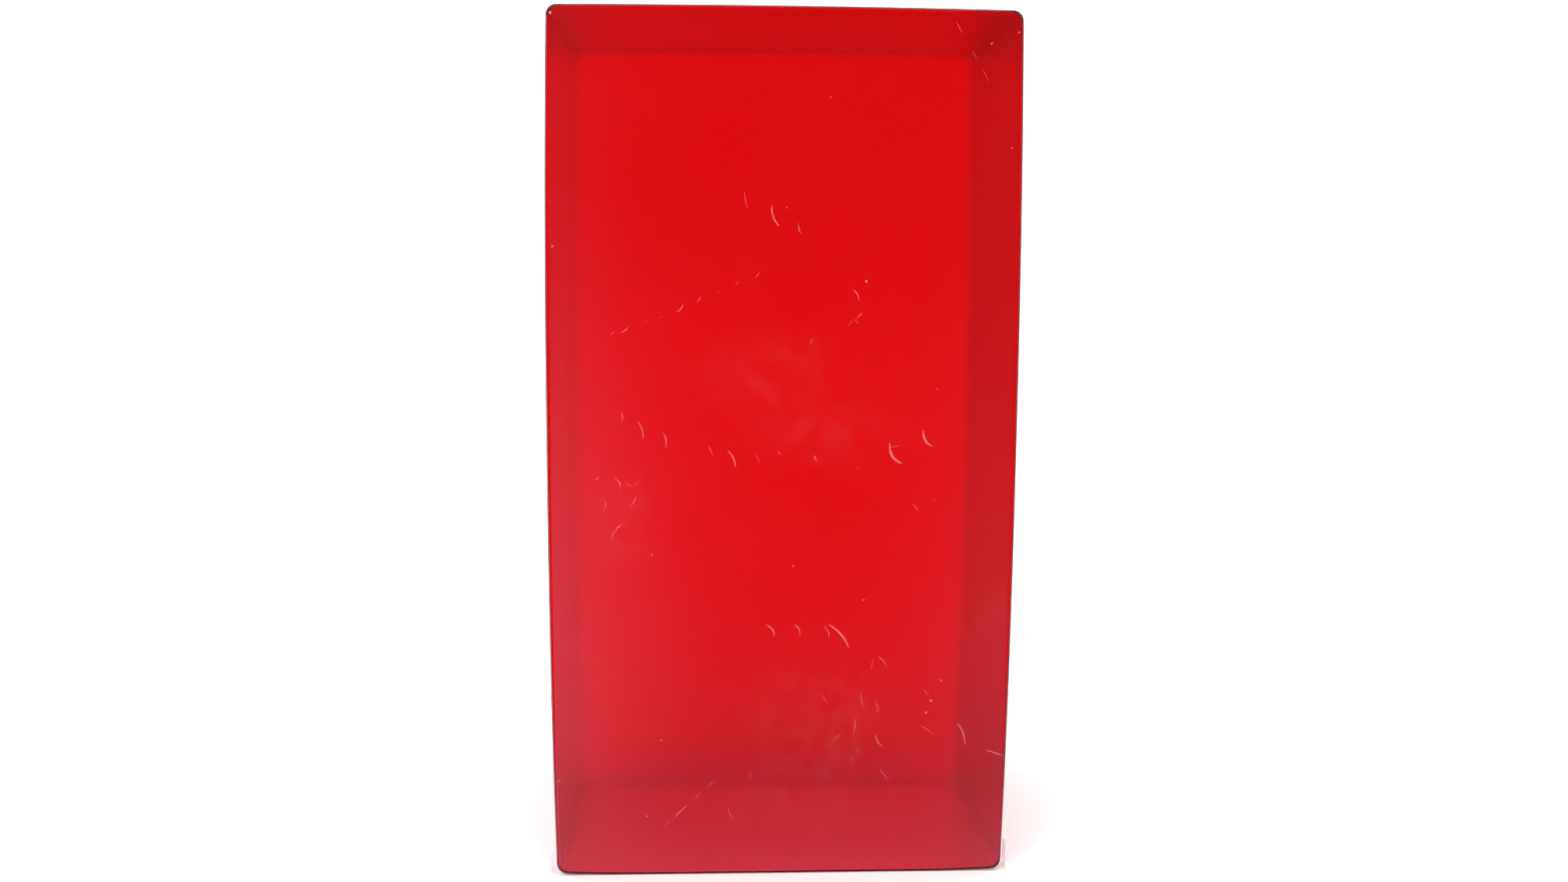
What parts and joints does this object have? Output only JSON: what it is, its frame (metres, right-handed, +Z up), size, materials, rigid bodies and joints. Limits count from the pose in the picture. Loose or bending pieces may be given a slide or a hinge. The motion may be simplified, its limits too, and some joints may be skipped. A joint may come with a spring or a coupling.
{
  "type": "clay bar",
  "caption": "Upright see-through red bar of detailing clay, tightly wrapped in clear film with a welded edge.",
  "frame": {"origin": "middle of the flat lower end that the bar stands on", "axes": "+Z up along the bar's length, +X across its width, -Y out of its front face"},
  "size_m": [0.0496, 0.0384, 0.0906],
  "materials": {
    "red_clay": "clear deep red, smooth, slightly hazy inside",
    "clear_film": "clear glossy wrapping film with fine scuffs"
  },
  "bodies": {
    "root": {"clay_bar": "red_clay", "film_front": "clear_film", "film_back": "clear_film"}
  },
  "joints": []
}
